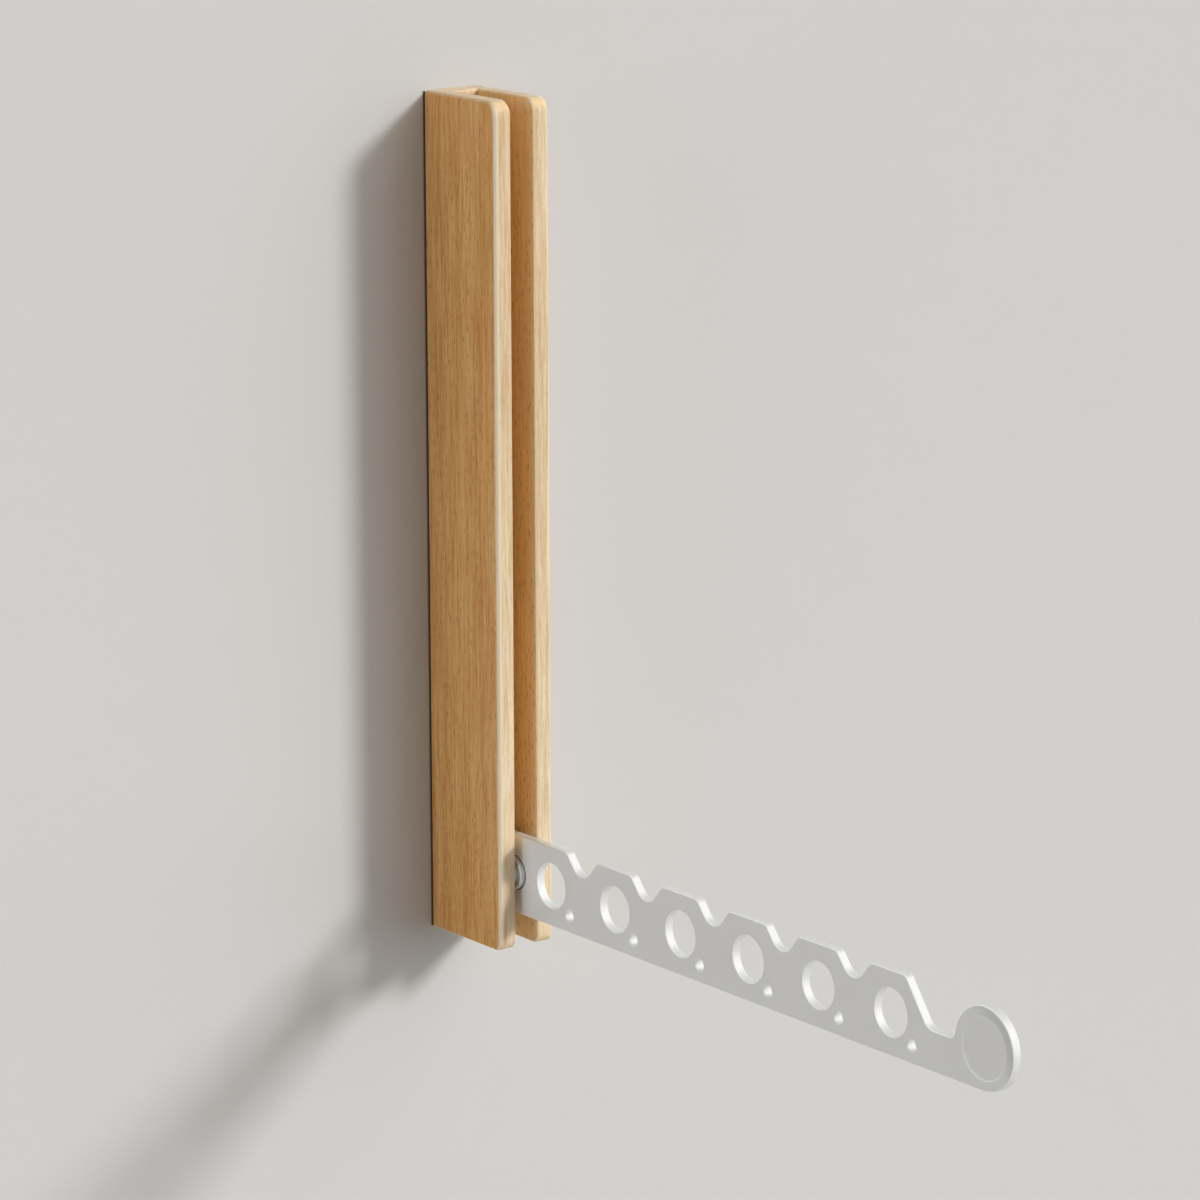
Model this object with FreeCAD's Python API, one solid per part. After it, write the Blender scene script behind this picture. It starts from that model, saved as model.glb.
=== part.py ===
import FreeCAD, Part
import math
import os

from FreeCAD import Vector

# Wall-mounted clothes valet: a pierced and notched aluminium arm that folds up into a slotted beech housing.
#
# Millimetres. The origin lies on the wall plane, in the middle of the housing's back and midway between its
# two wall screws. +Z is up, -Y points out of the wall, and +X is to the right of someone who faces the wall.
# A distance "out" is measured from the wall along -Y.

# ---- Housing: two cheeks glued to the sides of a back rail ----
HOUSING_HEIGHT = 350.0
HOUSING_DEPTH = 47.5
CHEEK_THICKNESS = 7.8
SLOT_WIDTH = 11.4
RAIL_THICKNESS = 9.5
TOP_NOSE_RADIUS = 6.0
FOOT_NOSE_RADIUS = 4.0
FRONT_EDGE_RADIUS = 2.2
TOP_EDGE_RADIUS = 1.7
FOOT_EDGE_RADIUS = 0.9
SLOT_EDGE_BEVEL = 0.6

# ---- Dowels that line up the cheeks on the rail ----
DOWEL_RADIUS = 2.5
DOWEL_COUNT = 2
DOWEL_END_INSET = 47.0
DOWEL_SOCKET_DEPTH = 5.0

# ---- Wall screws, driven through the rail from inside the slot ----
WALL_SCREW_SPACING = 192.0
WALL_HOLE_RADIUS = 2.25
WALL_SCREW_HEAD_RADIUS = 4.5

# ---- Arm: heights are above its lower edge ----
ARM_THICKNESS = 4.0
ARM_HEIGHT = 33.5
ARM_EDGE_BEVEL = 0.6
ARM_ABOVE_FOOT = 13.8
PIVOT_BEHIND_FRONT = 6.0
HOLE_LINE_HEIGHT = 17.0

HOOK_HOLE_PITCH = 42.4
HOOK_HOLE_RADIUS = 9.55
FIRST_HOOK_HOLE = 25.2

SMALL_HOLE_RADIUS = 2.65
SMALL_HOLE_OFFSET = 12.2
SMALL_HOLE_HEIGHT = 7.1

NOTCH_OFFSET = 20.5
NOTCH_DEPTH = 8.1
NOTCH_BOTTOM_RADIUS = 7.0
NOTCH_FLANK_ANGLE = 50.0
SHOULDER_RADIUS = 3.5

VALLEY_OFFSET = 20.9
VALLEY_FLOOR_HEIGHT = 15.8
VALLEY_FLANK_ANGLE = 54.0
VALLEY_FOOT_RADIUS = 6.0

TIP_RADIUS = 16.3
TIP_OFFSET = 52.3
TIP_NECK_RADIUS = 3.5
DISH_RADIUS = 12.5
DISH_FLOOR_RADIUS = 10.9
DISH_DEPTH = 0.7

HEEL_CORNER_RADIUS = 2.0
HEEL_BEARING_HEIGHT = 12.0
HEEL_RELIEF = 0.5
HEEL_TOP_RADIUS = 1.5

# ---- Pivot: a fixed pin, with a shouldered bush pressed into each face of the arm ----
PIN_RADIUS = 3.0
PIN_SOCKET_DEPTH = 5.0
FERRULE_WALL = 1.2
BUSH_RUNNING_CLEARANCE = 0.05
BUSH_BARREL_WALL = 1.95
BUSH_BARREL_GAP = 0.2
BUSH_FLANGE_RADIUS = 7.0
BUSH_FLANGE_BEVEL = 0.35
BUSH_STANDS_PROUD = 1.9
BUSH_RECESS_DEPTH = 0.6
BUSH_RECESS_CLEARANCE = 0.4
BUSH_RECESS_BEVEL_WIDTH = 0.8
BUSH_RECESS_BEVEL_DEPTH = 0.4
SPACER_WALL = 1.5
SPACER_BORE_CLEARANCE = 0.1
SPACER_END_PLAY = 0.1

# ---- Stops ----
STRIKE_THICKNESS = 2.0
STRIKE_SIDE_CLEARANCE = 0.2
STRIKE_BELOW_ARM = 10.8
STRIKE_ABOVE_PIVOT = 12.2
STRIKE_CORNER_RADIUS = 1.0
STRIKE_SCREW_INSET = 4.75
STRIKE_SCREW_LENGTH = 8.5
STRIKE_SCREW_RADIUS = 1.5
STRIKE_SCREW_HEAD_RADIUS = 2.75

FOLDED_TIP_BELOW_TOP = 8.0
FOLD_SEAT_GAP = 0.2
BUMPER_HEAD_HEIGHT = 3.6
BUMPER_RADIUS = 4.0
BUMPER_EDGE_BEVEL = 1.0
BUMPER_STEM_RADIUS = 2.0
BUMPER_STEM_LENGTH = 5.0

# ---- Worked out from the sizes above ----
HOUSING_WIDTH = SLOT_WIDTH + 2 * CHEEK_THICKNESS
HOUSING_TOP = HOUSING_HEIGHT / 2
HOUSING_FOOT = -HOUSING_HEIGHT / 2
SLOT_SIDE = SLOT_WIDTH / 2
ARM_FACE = ARM_THICKNESS / 2
ARM_LOWER_EDGE = HOUSING_FOOT + ARM_ABOVE_FOOT
PIVOT_HEIGHT = ARM_LOWER_EDGE + HOLE_LINE_HEIGHT
PIVOT_OUT = HOUSING_DEPTH - PIVOT_BEHIND_FRONT
STRIKE_FACE_OUT = RAIL_THICKNESS + STRIKE_THICKNESS
HEEL_REACH = PIVOT_OUT - STRIKE_FACE_OUT
BUSH_BORE_RADIUS = PIN_RADIUS + BUSH_RUNNING_CLEARANCE
BUSH_BARREL_RADIUS = BUSH_BORE_RADIUS + BUSH_BARREL_WALL
SPACER_BORE_RADIUS = PIN_RADIUS + SPACER_BORE_CLEARANCE
FERRULE_RADIUS = PIN_RADIUS + FERRULE_WALL

# The arm has as many hook holes as let its folded tip end below the housing's top.
ROOM_ABOVE_PIVOT = HOUSING_TOP - FOLDED_TIP_BELOW_TOP - PIVOT_HEIGHT
ROOM_FOR_HOLES = ROOM_ABOVE_PIVOT - FIRST_HOOK_HOLE - TIP_OFFSET - TIP_RADIUS
HOOK_HOLE_COUNT = 1 + math.floor(ROOM_FOR_HOLES / HOOK_HOLE_PITCH)
TIP_REACH = FIRST_HOOK_HOLE + (HOOK_HOLE_COUNT - 1) * HOOK_HOLE_PITCH + TIP_OFFSET
TIP_OUT = PIVOT_OUT + TIP_REACH

# The folded arm leans past upright until its round tip reaches the head of the fold bumper.
BUMPER_HEAD_OUT = RAIL_THICKNESS + BUMPER_HEAD_HEIGHT
FOLDED_TIP_OUT = BUMPER_HEAD_OUT + FOLD_SEAT_GAP + TIP_RADIUS
TIP_SWING_RADIUS = math.hypot(TIP_REACH, TIP_RADIUS - HOLE_LINE_HEIGHT)
FOLDED_TIP_HEIGHT = PIVOT_HEIGHT + math.sqrt(TIP_SWING_RADIUS ** 2 - (FOLDED_TIP_OUT - PIVOT_OUT) ** 2)

# Extra length by which a cutter passes through the face that it starts from.
THROUGH = 1.0

RIGHTWARDS = Vector(1, 0, 0)
INTO_WALL = Vector(0, 1, 0)


def at(x, out, z):
    """The point x to the right, out from the wall and z up."""
    return Vector(x, -out, z)


def block(x_low, x_high, out_low, out_high, z_low, z_high):
    """A plain box between two limits in each direction."""
    return Part.makeBox(x_high - x_low, out_high - out_low, z_high - z_low, at(x_low, out_high, z_low))


def turned(outline, centre, axis):
    """Solid of revolution of a closed outline of (distance along the axis, radius) points."""
    points = [Vector(radius, 0, along) for along, radius in outline]
    face = Part.Face(Part.makePolygon(points + points[:1]))
    solid = face.revolve(Vector(0, 0, 0), Vector(0, 0, 1), 360)
    solid.Placement = FreeCAD.Placement(centre, FreeCAD.Rotation(Vector(0, 0, 1), axis))
    return solid


def rod(radius, half_length, middle):
    """Round bar that lies along X, centred on a point."""
    return Part.makeCylinder(radius, 2 * half_length, middle - RIGHTWARDS * half_length, RIGHTWARDS)


def rounded_run(points, place):
    """Edges of an open path through (u, v, radius) points, with a tangent arc at each inner corner."""
    edges = []
    start = Vector(points[0][0], points[0][1], 0)
    for corner_point, after_point in zip(points[1:], points[2:]):
        corner = Vector(corner_point[0], corner_point[1], 0)
        after = Vector(after_point[0], after_point[1], 0)
        arriving = (corner - start).normalize()
        leaving = (after - corner).normalize()
        half_turn = arriving.getAngle(leaving) / 2
        radius = corner_point[2]
        setback = radius * math.tan(half_turn)
        arc_start = corner - arriving * setback
        arc_end = corner + leaving * setback
        if radius > 0:
            inward = (leaving - arriving).normalize()
            arc_middle = corner + inward * (radius / math.cos(half_turn) - radius)
            edges.append(Part.makeLine(place(start), place(arc_start)))
            edges.append(Part.Arc(place(arc_start), place(arc_middle), place(arc_end)).toShape())
        else:
            edges.append(Part.makeLine(place(start), place(corner)))
        start = arc_end
    last = Vector(points[-1][0], points[-1][1], 0)
    edges.append(Part.makeLine(place(start), place(last)))
    return edges


def edges_where(shape, wanted):
    """Edges whose points at both ends and in the middle all pass the test."""
    chosen = []
    for edge in shape.Edges:
        first, last = edge.ParameterRange
        samples = [edge.valueAt(first), edge.valueAt((first + last) / 2), edge.valueAt(last)]
        if all(wanted(point) for point in samples):
            chosen.append(edge)
    return chosen


def near(value, target):
    return abs(value - target) < 1e-4


def fillet_by_point(shape, edges, radius_at):
    """Fillet whose radius runs evenly along each edge between the radii at its two ends."""
    document = FreeCAD.newDocument()
    base = document.addObject("Part::Feature")
    base.Shape = shape
    fillet = document.addObject("Part::Fillet")
    fillet.Base = base
    radii = []
    for number, edge in enumerate(shape.Edges, start=1):
        if any(edge.isSame(wanted) for wanted in edges):
            first, last = edge.ParameterRange
            radii.append((number, radius_at(edge.valueAt(first)), radius_at(edge.valueAt(last))))
    fillet.Edges = radii
    document.recompute()
    return fillet.Shape.copy()


# ---- Housing ----

def housing_blank():
    """The whole channel with its rounded edges, before it is divided into rail and cheeks."""
    def side_view(point):
        return at(-HOUSING_WIDTH / 2, point.x, point.y)

    outline = rounded_run([
        (0, HOUSING_FOOT, 0),
        (HOUSING_DEPTH, HOUSING_FOOT, FOOT_NOSE_RADIUS),
        (HOUSING_DEPTH, HOUSING_TOP, TOP_NOSE_RADIUS),
        (0, HOUSING_TOP, 0),
    ], side_view)
    outline.append(Part.makeLine(side_view(Vector(0, HOUSING_TOP, 0)), side_view(Vector(0, HOUSING_FOOT, 0))))
    blank = Part.Face(Part.Wire(outline)).extrude(RIGHTWARDS * HOUSING_WIDTH)

    def edge_radius(point):
        if near(-point.y, HOUSING_DEPTH):
            return FRONT_EDGE_RADIUS
        return TOP_EDGE_RADIUS if point.z > 0 else FOOT_EDGE_RADIUS

    side_edges = edges_where(blank, lambda p: near(abs(p.x), HOUSING_WIDTH / 2))
    off_the_wall = [edge for edge in side_edges if not near(edge.BoundBox.YMin, 0)]
    blank = fillet_by_point(blank, off_the_wall, edge_radius)

    slot = block(-SLOT_SIDE, SLOT_SIDE, RAIL_THICKNESS, HOUSING_DEPTH + THROUGH,
                 HOUSING_FOOT - THROUGH, HOUSING_TOP + THROUGH)
    channel = blank.cut(slot)

    def on_slot_rim(p):
        on_cheek = near(abs(p.x), SLOT_SIDE) and -p.y > RAIL_THICKNESS - 1e-4
        on_rail = near(-p.y, RAIL_THICKNESS)
        inside_corner = near(abs(p.x), SLOT_SIDE) and near(-p.y, RAIL_THICKNESS)
        at_an_end = near(p.z, HOUSING_TOP) or near(p.z, HOUSING_FOOT)
        return (on_cheek or on_rail) and (at_an_end or not inside_corner)

    return channel.makeChamfer(SLOT_EDGE_BEVEL, edges_where(channel, on_slot_rim))


def dowel_heights():
    lowest = HOUSING_FOOT + DOWEL_END_INSET
    highest = HOUSING_TOP - DOWEL_END_INSET
    return [lowest + (highest - lowest) * i / (DOWEL_COUNT - 1) for i in range(DOWEL_COUNT)]


def dowels():
    """Wooden dowels across the rail, each end in a blind socket of a cheek."""
    half = SLOT_SIDE + DOWEL_SOCKET_DEPTH
    return [rod(DOWEL_RADIUS, half, at(0, RAIL_THICKNESS / 2, z)) for z in dowel_heights()]


def wall_screw_holes():
    """Countersunk clearance holes, opening on the rail's front face."""
    sink_depth = WALL_SCREW_HEAD_RADIUS - WALL_HOLE_RADIUS
    outline = [
        (-RAIL_THICKNESS - THROUGH, 0),
        (-RAIL_THICKNESS - THROUGH, WALL_SCREW_HEAD_RADIUS + THROUGH),
        (-RAIL_THICKNESS + sink_depth, WALL_HOLE_RADIUS),
        (THROUGH, WALL_HOLE_RADIUS),
        (THROUGH, 0),
    ]
    heights = (-WALL_SCREW_SPACING / 2, WALL_SCREW_SPACING / 2)
    return [turned(outline, at(0, 0, z), INTO_WALL) for z in heights]


def back_rail(channel):
    """The strip of the channel between the cheeks, drilled for everything that it carries."""
    strip = block(-SLOT_SIDE, SLOT_SIDE, -THROUGH, RAIL_THICKNESS,
                  HOUSING_FOOT - THROUGH, HOUSING_TOP + THROUGH)
    rail = channel.common(strip)
    return rail.cut(wall_screw_holes() + dowels() + strike_screws() + [fold_bumper()])


def cheek(channel, side):
    """One side of the channel, side being -1 for left and 1 for right."""
    inner = side * SLOT_SIDE
    outer = side * (HOUSING_WIDTH / 2 + THROUGH)
    slab = block(min(inner, outer), max(inner, outer), -THROUGH, HOUSING_DEPTH + THROUGH,
                 HOUSING_FOOT - THROUGH, HOUSING_TOP + THROUGH)
    pin_socket = rod(FERRULE_RADIUS, SLOT_SIDE + PIN_SOCKET_DEPTH, at(0, PIVOT_OUT, PIVOT_HEIGHT))
    return channel.common(slab).cut(dowels() + [pin_socket])


# ---- Arm ----

def hook_hole_outs():
    return [PIVOT_OUT + FIRST_HOOK_HOLE + i * HOOK_HOLE_PITCH for i in range(HOOK_HOLE_COUNT)]


def top_edge_corners():
    """Corners of the toothed top edge, from the first notch to the floor of the end valley."""
    flank = math.radians(NOTCH_FLANK_ANGLE)
    point_below_bottom = NOTCH_BOTTOM_RADIUS * (1 / math.cos(flank) - 1)
    point_height = ARM_HEIGHT - NOTCH_DEPTH - point_below_bottom
    half_mouth = (ARM_HEIGHT - point_height) / math.tan(flank)
    corners = []
    for out in hook_hole_outs()[:-1]:
        middle = out + NOTCH_OFFSET
        corners.append((middle - half_mouth, ARM_HEIGHT, SHOULDER_RADIUS))
        corners.append((middle, point_height, NOTCH_BOTTOM_RADIUS))
        corners.append((middle + half_mouth, ARM_HEIGHT, SHOULDER_RADIUS))
    foot_out = hook_hole_outs()[-1] + VALLEY_OFFSET
    run = (ARM_HEIGHT - VALLEY_FLOOR_HEIGHT) / math.tan(math.radians(VALLEY_FLANK_ANGLE))
    corners.append((foot_out - run, ARM_HEIGHT, SHOULDER_RADIUS))
    corners.append((foot_out, VALLEY_FLOOR_HEIGHT, VALLEY_FOOT_RADIUS))
    return corners


def arm_outline():
    """Closed outline of the arm on its left face."""
    def place(point):
        return at(-ARM_FACE, point.x, ARM_LOWER_EDGE + point.y)

    def on_circle(out, height, radius, angle):
        return Vector(out + radius * math.cos(angle), height + radius * math.sin(angle), 0)

    # The heel is square below the pivot, to bear on the strike plate, and an arc about the pivot above it.
    heel_radius = HEEL_REACH - HEEL_RELIEF
    top_angle = math.pi - math.asin((ARM_HEIGHT - HOLE_LINE_HEIGHT) / heel_radius)
    arc_points = [on_circle(PIVOT_OUT, HOLE_LINE_HEIGHT, heel_radius, angle)
                  for angle in (math.pi, (math.pi + top_angle) / 2, top_angle)]
    heel_arc = Part.Arc(*[place(point) for point in arc_points]).toShape()

    # A neck arc leads from the valley's floor into the round tip, which touches the arm's lower edge.
    neck_height = VALLEY_FLOOR_HEIGHT + TIP_NECK_RADIUS
    neck_angle = math.asin((TIP_RADIUS - neck_height) / (TIP_RADIUS + TIP_NECK_RADIUS))
    neck_out = TIP_OUT - (TIP_RADIUS + TIP_NECK_RADIUS) * math.cos(neck_angle)
    neck_points = [on_circle(neck_out, neck_height, TIP_NECK_RADIUS, angle)
                   for angle in (-math.pi / 2, (neck_angle - math.pi / 2) / 2, neck_angle)]
    neck_arc = Part.Arc(*[place(point) for point in neck_points]).toShape()

    tip_start = math.pi + neck_angle
    tip_points = [on_circle(TIP_OUT, TIP_RADIUS, TIP_RADIUS, angle)
                  for angle in (tip_start, (tip_start - math.pi / 2) / 2, -math.pi / 2)]
    tip_arc = Part.Arc(*[place(point) for point in tip_points]).toShape()

    top_start = (arc_points[-1].x, arc_points[-1].y, 0)
    valley_end = (neck_points[0].x, neck_points[0].y, 0)
    top_run = rounded_run([top_start] + top_edge_corners() + [valley_end], place)
    lower_run = rounded_run([
        (TIP_OUT, 0, 0),
        (STRIKE_FACE_OUT, 0, HEEL_CORNER_RADIUS),
        (STRIKE_FACE_OUT, HEEL_BEARING_HEIGHT, 0),
        (arc_points[0].x, arc_points[0].y, 0),
    ], place)
    return Part.Wire([heel_arc] + top_run + [neck_arc, tip_arc] + lower_run)


def through_hole(radius, out, height):
    """Cutter for a plain hole across the arm."""
    return rod(radius, ARM_FACE + THROUGH, at(0, out, ARM_LOWER_EDGE + height))


def bush_recess(side):
    """Cutter for the bevelled recess that a bush's flange sits in."""
    recess_radius = BUSH_FLANGE_RADIUS + BUSH_RECESS_CLEARANCE
    slope = BUSH_RECESS_BEVEL_WIDTH / BUSH_RECESS_BEVEL_DEPTH
    outline = [
        (THROUGH, 0),
        (THROUGH, recess_radius + BUSH_RECESS_BEVEL_WIDTH + THROUGH * slope),
        (-BUSH_RECESS_BEVEL_DEPTH, recess_radius),
        (-BUSH_RECESS_DEPTH, recess_radius),
        (-BUSH_RECESS_DEPTH, 0),
    ]
    return turned(outline, at(side * ARM_FACE, PIVOT_OUT, PIVOT_HEIGHT), RIGHTWARDS * side)


def finger_dish(side):
    """Cutter for the shallow round dish in one face of the tip."""
    slope = (DISH_RADIUS - DISH_FLOOR_RADIUS) / DISH_DEPTH
    outline = [
        (THROUGH, 0),
        (THROUGH, DISH_RADIUS + THROUGH * slope),
        (-DISH_DEPTH, DISH_FLOOR_RADIUS),
        (-DISH_DEPTH, 0),
    ]
    return turned(outline, at(side * ARM_FACE, TIP_OUT, ARM_LOWER_EDGE + TIP_RADIUS), RIGHTWARDS * side)


def arm():
    plate = Part.Face(arm_outline()).extrude(RIGHTWARDS * ARM_THICKNESS)
    top = ARM_LOWER_EDGE + ARM_HEIGHT
    heel_top = edges_where(plate, lambda p: near(p.z, top) and -p.y < PIVOT_OUT)
    plate = plate.makeFillet(HEEL_TOP_RADIUS, heel_top)
    plate = plate.makeChamfer(ARM_EDGE_BEVEL, edges_where(plate, lambda p: near(abs(p.x), ARM_FACE)))
    cutters = [through_hole(BUSH_BARREL_RADIUS, PIVOT_OUT, HOLE_LINE_HEIGHT)]
    for out in hook_hole_outs():
        cutters.append(through_hole(HOOK_HOLE_RADIUS, out, HOLE_LINE_HEIGHT))
        cutters.append(through_hole(SMALL_HOLE_RADIUS, out + SMALL_HOLE_OFFSET, SMALL_HOLE_HEIGHT))
    for side in (-1, 1):
        cutters.append(bush_recess(side))
        cutters.append(finger_dish(side))
    return plate.cut(cutters)


# ---- Pivot ----

def pivot_pin():
    """Straight pin across the slot, each end in a ferrule."""
    return rod(PIN_RADIUS, SLOT_SIDE + PIN_SOCKET_DEPTH, at(0, PIVOT_OUT, PIVOT_HEIGHT))


def ferrule(side):
    """Sleeve that lines the blind pin socket of a cheek."""
    outline = [
        (0, PIN_RADIUS),
        (0, FERRULE_RADIUS),
        (PIN_SOCKET_DEPTH, FERRULE_RADIUS),
        (PIN_SOCKET_DEPTH, PIN_RADIUS),
    ]
    return turned(outline, at(side * SLOT_SIDE, PIVOT_OUT, PIVOT_HEIGHT), RIGHTWARDS * side)


def bush(side):
    """Shouldered bush: its barrel is pressed into the arm and its flange stands proud of the arm's face."""
    inner_end = BUSH_BARREL_GAP / 2
    shoulder = ARM_FACE - BUSH_RECESS_DEPTH
    face = ARM_FACE + BUSH_STANDS_PROUD
    outline = [
        (inner_end, BUSH_BORE_RADIUS),
        (inner_end, BUSH_BARREL_RADIUS),
        (shoulder, BUSH_BARREL_RADIUS),
        (shoulder, BUSH_FLANGE_RADIUS),
        (face - BUSH_FLANGE_BEVEL, BUSH_FLANGE_RADIUS),
        (face, BUSH_FLANGE_RADIUS - BUSH_FLANGE_BEVEL),
        (face, BUSH_BORE_RADIUS),
    ]
    return turned(outline, at(0, PIVOT_OUT, PIVOT_HEIGHT), RIGHTWARDS * side)


def spacer(side):
    """Washer between a cheek and the bush beside it."""
    cheek_face = SLOT_SIDE
    bush_face = ARM_FACE + BUSH_STANDS_PROUD + SPACER_END_PLAY
    outer_radius = SPACER_BORE_RADIUS + SPACER_WALL
    outline = [
        (bush_face, SPACER_BORE_RADIUS),
        (bush_face, outer_radius),
        (cheek_face, outer_radius),
        (cheek_face, SPACER_BORE_RADIUS),
    ]
    return turned(outline, at(0, PIVOT_OUT, PIVOT_HEIGHT), RIGHTWARDS * side)


# ---- Stops ----

def strike_limits():
    return ARM_LOWER_EDGE - STRIKE_BELOW_ARM, PIVOT_HEIGHT + STRIKE_ABOVE_PIVOT


def strike_screws():
    """Countersunk wood screws, their heads flush with the strike plate."""
    low, high = strike_limits()
    sink_depth = STRIKE_SCREW_HEAD_RADIUS - STRIKE_SCREW_RADIUS
    outline = [
        (0, 0),
        (0, STRIKE_SCREW_HEAD_RADIUS),
        (sink_depth, STRIKE_SCREW_RADIUS),
        (STRIKE_SCREW_LENGTH, STRIKE_SCREW_RADIUS),
        (STRIKE_SCREW_LENGTH, 0),
    ]
    heights = (low + STRIKE_SCREW_INSET, high - STRIKE_SCREW_INSET)
    return [turned(outline, at(0, STRIKE_FACE_OUT, z), INTO_WALL) for z in heights]


def strike_plate():
    """Flat steel plate on the rail, where the arm's heel bears."""
    low, high = strike_limits()
    side = SLOT_SIDE - STRIKE_SIDE_CLEARANCE
    plate = block(-side, side, RAIL_THICKNESS, STRIKE_FACE_OUT, low, high)
    corners = [edge for edge in plate.Edges if near(edge.BoundBox.YLength, STRIKE_THICKNESS)]
    return plate.makeFillet(STRIKE_CORNER_RADIUS, corners).cut(strike_screws())


def fold_bumper():
    """Push-in buffer in the rail, level with the round tip of the folded arm."""
    outline = [
        (0, 0),
        (0, BUMPER_RADIUS - BUMPER_EDGE_BEVEL),
        (BUMPER_EDGE_BEVEL, BUMPER_RADIUS),
        (BUMPER_HEAD_HEIGHT, BUMPER_RADIUS),
        (BUMPER_HEAD_HEIGHT, BUMPER_STEM_RADIUS),
        (BUMPER_HEAD_HEIGHT + BUMPER_STEM_LENGTH, BUMPER_STEM_RADIUS),
        (BUMPER_HEAD_HEIGHT + BUMPER_STEM_LENGTH, 0),
    ]
    return turned(outline, at(0, BUMPER_HEAD_OUT, FOLDED_TIP_HEIGHT), INTO_WALL)


def save(name, shape):
    """Write one named piece, as a solid or as a group of separate solids."""
    solids = shape if isinstance(shape, list) else shape.Solids
    piece = solids[0] if len(solids) == 1 else Part.makeCompound(solids)
    piece.exportStep(os.path.join("parts", name + ".step"))
    state = "valid" if piece.isValid() else "INVALID"
    print(name, len(solids), "solid(s)", round(piece.Volume, 1), "mm3", state)


os.makedirs("parts", exist_ok=True)
channel = housing_blank()
save("back_rail", back_rail(channel))
save("left_cheek", cheek(channel, -1))
save("right_cheek", cheek(channel, 1))
save("cheek_dowels", dowels())
save("arm", arm())
save("left_bush", bush(-1))
save("right_bush", bush(1))
save("left_spacer", spacer(-1))
save("right_spacer", spacer(1))
save("pivot_pin", pivot_pin())
save("left_ferrule", ferrule(-1))
save("right_ferrule", ferrule(1))
save("strike_plate", strike_plate())
save("strike_plate_screws", strike_screws())
save("fold_bumper", fold_bumper())
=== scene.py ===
import math

import bmesh
import bpy
from mathutils import Matrix, Vector


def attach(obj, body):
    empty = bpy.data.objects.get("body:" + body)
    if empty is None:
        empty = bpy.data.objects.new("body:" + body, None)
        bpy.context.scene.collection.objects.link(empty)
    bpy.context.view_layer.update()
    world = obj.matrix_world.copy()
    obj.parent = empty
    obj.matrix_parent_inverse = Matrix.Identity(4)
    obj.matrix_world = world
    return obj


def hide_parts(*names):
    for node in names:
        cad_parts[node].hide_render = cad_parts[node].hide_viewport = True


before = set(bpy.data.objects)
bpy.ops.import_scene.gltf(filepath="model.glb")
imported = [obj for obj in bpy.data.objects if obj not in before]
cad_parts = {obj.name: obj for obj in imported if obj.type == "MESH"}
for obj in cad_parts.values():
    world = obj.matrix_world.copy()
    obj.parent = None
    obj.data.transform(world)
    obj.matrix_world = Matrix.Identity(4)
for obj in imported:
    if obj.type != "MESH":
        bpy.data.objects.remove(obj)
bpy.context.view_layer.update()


# ---- The wall and the floor ----
# The valet hangs on a smooth painted wall, off-white and slightly warm, well above a floor of the same tone.
# The wall is left open behind the housing, apart from a disc behind each wall-screw hole, so that the housing's
# back shows from behind. Neither surface is seen from its own back.

# Lengths are in metres, written as millimetres times MM. Patterns in the materials are in plain millimetres.
# The origin is on the wall plane, in the middle of the housing's back. +Z is up and -Y points out of the wall.
MM = 0.001
WALL_COLOUR = (0.545, 0.545, 0.536)
FLOOR_COLOUR = (0.56, 0.55, 0.53)
MOTTLE = 0.015
# Painted reflection: what metal reflects of the wall is a glow, painted lighter higher up, in place of its lit
# paint.
WALL_REFLECTED_GLOW_LOW = (0.60, 0.60, 0.595)
WALL_REFLECTED_GLOW_HIGH = (0.95, 0.95, 0.945)
FLOOR_SEEN = (0.60, 0.60, 0.59)
SEEN_RISE = (-260, -60)
WALL_HALF_WIDTH = 3000 * MM
WALL_TOP = 2400 * MM
FLOOR_HEIGHT = -1150 * MM
FLOOR_REACH = 4000 * MM
WALL_GAP = 0.15 * MM
OPENING_HALF_WIDTH = 13.2 * MM
OPENING_HALF_HEIGHT = 174.7 * MM
# Painted contact shadow: a thin dark strip painted on the wall along the housing's sides, where shade falls in
# the joint.
CONTACT_SHADOW_FADE = (13.9, 15.1)
CONTACT_SHADOW_COLOUR = (0.04, 0.037, 0.034)
WALL_SCREW_HEIGHT = 96 * MM
WALL_DISC_RADIUS = 3.4 * MM
WALL_DISC_STEPS = 24


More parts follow.
